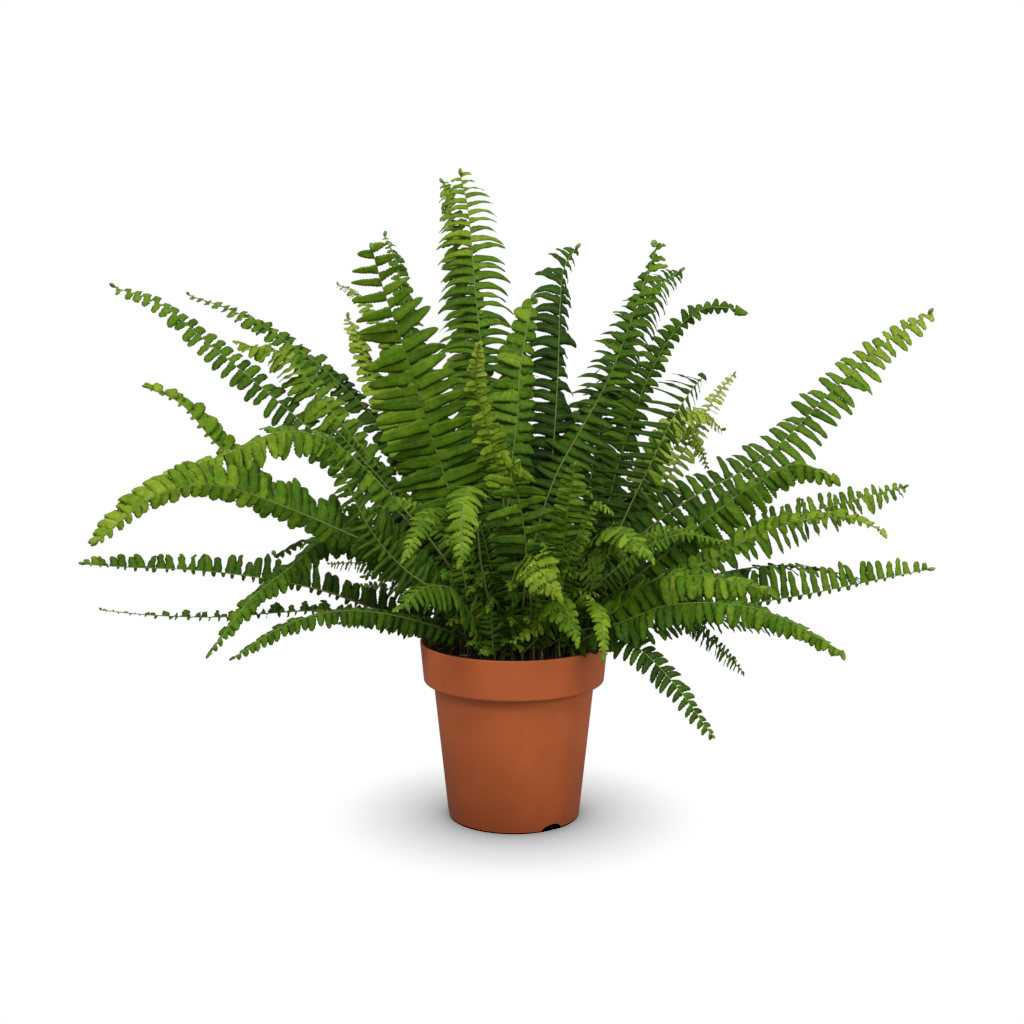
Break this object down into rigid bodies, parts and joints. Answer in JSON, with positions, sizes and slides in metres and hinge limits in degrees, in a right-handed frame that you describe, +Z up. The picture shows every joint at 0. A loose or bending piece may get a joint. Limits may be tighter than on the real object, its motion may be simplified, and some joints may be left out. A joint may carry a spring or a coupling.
{
  "type": "potted fern",
  "caption": "Bushy sword fern with arching feather-like fronds standing in soil in a tapered terracotta-coloured plastic nursery pot with a stepped collar.",
  "frame": {"origin": "centre of the pot's foot, on the surface that it stands on", "axes": "+Z up along the pot's axis, -Y towards the front, +X to the right seen from the front"},
  "size_m": [0.625, 0.4104, 0.4539],
  "materials": {
    "pot": "satin terracotta-coloured moulded plastic",
    "soil": "rough dark potting soil of bark and peat fibre",
    "leaf": "thin satin green fern frond, yellow-green towards the tips"
  },
  "bodies": {
    "root": {"pot": "pot", "soil": "soil", "frond_top": "leaf", "frond_top_left": "leaf", "frond_tall_left": "leaf", "frond_tall_left_behind": "leaf", "frond_wisp_left_high": "leaf", "frond_wisp_left": "leaf", "frond_middle_bright": "leaf", "frond_middle_young": "leaf", "frond_middle_dark": "leaf", "frond_right_tall": "leaf", "frond_right_tall_behind": "leaf", "frond_right_arch": "leaf", "frond_right_dark": "leaf", "frond_right_pale": "leaf", "frond_right_pale_low": "leaf", "frond_right_long": "leaf", "frond_right_long_under": "leaf", "frond_right_mid_behind": "leaf", "frond_right_mid": "leaf", "frond_right_low": "leaf", "frond_right_low_front": "leaf", "frond_right_drop": "leaf", "frond_right_drop_behind": "leaf", "frond_right_sprig": "leaf", "frond_right_hanging": "leaf", "frond_left_long": "leaf", "frond_left_long_behind": "leaf", "frond_left_pale_arch": "leaf", "frond_left_mid": "leaf", "frond_left_pale": "leaf", "frond_left_arch": "leaf", "frond_left_low": "leaf", "frond_left_low_thin": "leaf", "frond_left_drop": "leaf", "frond_left_drop_low": "leaf", "frond_left_inner": "leaf", "frond_left_inner_behind": "leaf", "frond_front_hanging": "leaf", "frond_front_hanging_left": "leaf", "frond_front_stem": "leaf", "frond_front_butterfly": "leaf", "frond_front_low": "leaf", "frond_rim_right": "leaf", "frond_left_front_pale": "leaf", "frond_fishbone": "leaf", "frond_fishbone_right": "leaf", "frond_right_front_pale": "leaf", "frond_back_01": "leaf", "frond_back_02": "leaf", "frond_back_03": "leaf", "frond_back_04": "leaf", "frond_back_05": "leaf", "frond_back_06": "leaf", "frond_back_07": "leaf", "frond_back_08": "leaf", "frond_back_09": "leaf", "frond_back_10": "leaf", "frond_back_11": "leaf"}
  },
  "joints": []
}
